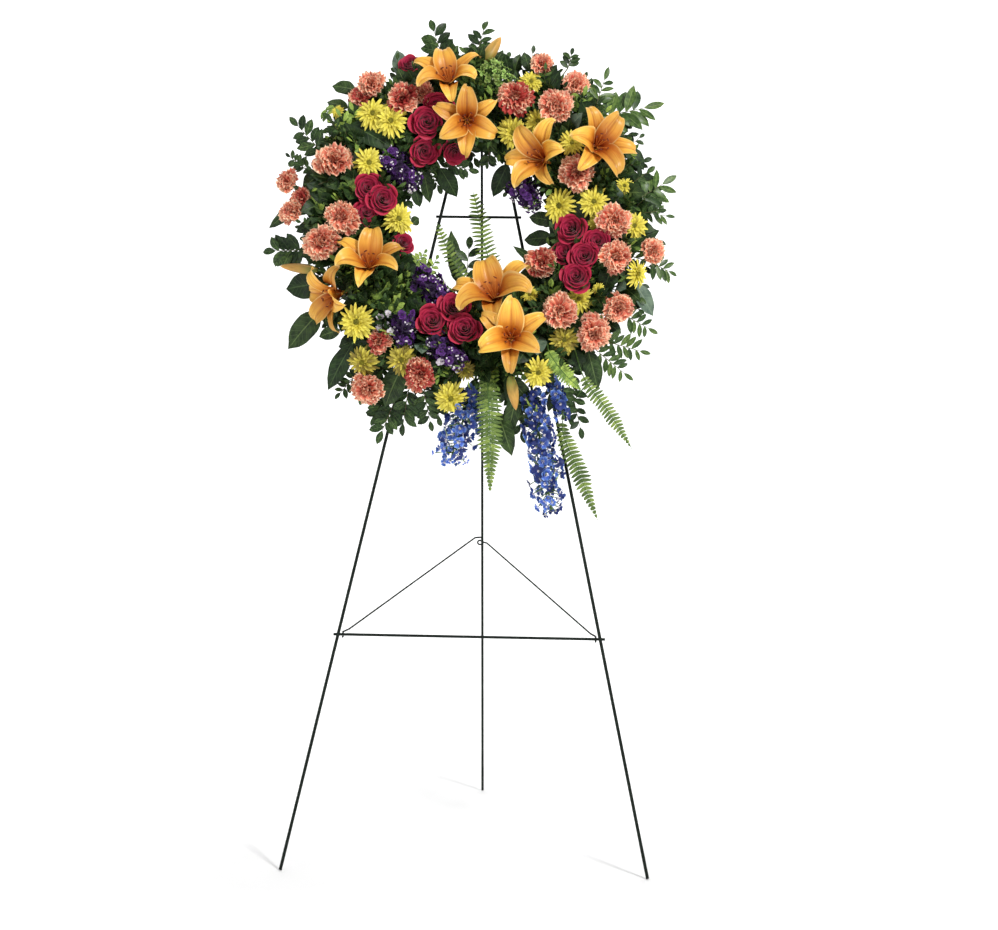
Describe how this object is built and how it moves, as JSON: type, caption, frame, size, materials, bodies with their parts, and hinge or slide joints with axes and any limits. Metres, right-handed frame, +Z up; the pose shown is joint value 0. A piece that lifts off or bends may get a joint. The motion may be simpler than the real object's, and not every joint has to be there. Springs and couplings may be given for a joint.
{
  "type": "standing floral wreath",
  "caption": "Round wreath of mixed blooms, ferns and leaves on a wet-foam ring, hung on a tall three-legged folding wire easel.",
  "frame": {"origin": "on the floor under the middle of the bounding box", "axes": "+Z up, -Y towards the front of the wreath, +X to the right as seen from the front"},
  "size_m": [0.7654, 0.6058, 1.5354],
  "materials": {
    "enamel_wire": "semi-gloss enamel",
    "tray_plastic": "matte",
    "wet_foam": "matte, porous",
    "lily_petal": "satin petal",
    "rose_petal": "velvet petal",
    "carnation_petal": "soft petal, paler edges",
    "mum_petal": "soft petal",
    "stock_floret": "soft petal",
    "delphinium_floret": "soft petal",
    "fern_frond": "satin leaf",
    "filler_floret": "soft",
    "leaf": "satin leaf"
  },
  "bodies": {
    "stand_and_wreath": {"front_leg_left": "enamel_wire", "front_leg_right": "enamel_wire", "crossbar_lower": "enamel_wire", "crossbar_upper": "enamel_wire", "hinge_bar": "enamel_wire", "foam_tray": "tray_plastic", "foam_ring": "wet_foam", "hanging_hook": "enamel_wire", "lily_stem_top": "lily_petal", "lily_stem_right": "lily_petal", "lily_stem_left": "lily_petal", "lily_stem_bottom": "lily_petal", "roses_upper_left": "rose_petal", "rose_top": "rose_petal", "roses_left": "rose_petal", "rose_left_inner": "rose_petal", "roses_bottom": "rose_petal", "roses_right": "rose_petal", "carnations_top_left": "carnation_petal", "carnation_left_upper": "carnation_petal", "carnations_left_edge": "carnation_petal", "carnations_left": "carnation_petal", "carnations_top_right": "carnation_petal", "carnation_right_upper": "carnation_petal", "carnations_right": "carnation_petal", "carnation_right_inner": "carnation_petal", "carnations_lower_right": "carnation_petal", "carnation_bottom": "carnation_petal", "carnations_lower_left": "carnation_petal", "mums_upper_left": "mum_petal", "mum_left_inner": "mum_petal", "mums_lower_left": "mum_petal", "mum_lower_inner": "mum_petal", "mums_bottom": "mum_petal", "mums_bottom_right": "mum_petal", "mums_right": "mum_petal", "mums_top_right": "mum_petal", "stock_upper_left": "stock_floret", "stock_upper_right": "stock_floret", "stock_centre": "stock_floret", "stock_lower_left": "stock_floret", "stock_bottom": "stock_floret", "delphinium_left": "delphinium_floret", "delphinium_right": "delphinium_floret", "delphinium_upper": "delphinium_floret", "filler_top": "filler_floret", "fern_hole": "fern_frond", "fern_bottom": "fern_frond", "fern_bright": "fern_frond", "fern_lower_right": "fern_frond", "greens_right": "leaf", "greens_upper_right": "leaf", "greens_top": "leaf", "greens_upper_left": "leaf", "greens_left": "leaf", "greens_lower_left": "leaf", "greens_bottom": "leaf", "greens_lower_right": "leaf"},
    "rear_leg": {"rear_leg": "enamel_wire"},
    "brace": {"brace": "enamel_wire"}
  },
  "joints": [
    {"name": "rear_leg_hinge", "type": "hinge", "parent": "stand_and_wreath", "child": "rear_leg", "pos_m": [0.01269, 0.0427, 1.40376], "axis": [-1, 0, 0], "range_deg": [0, 23.2]},
    {"name": "brace_turn", "type": "hinge", "parent": "stand_and_wreath", "child": "brace", "pos_m": [0.01269, -0.19474, 0.41265], "axis": [1, 0, 0], "range_deg": [0, 57.6]}
  ],
  "couplings": [
    {"joint": "brace_turn", "follows": "rear_leg_hinge", "ratio": 2.4822}
  ]
}
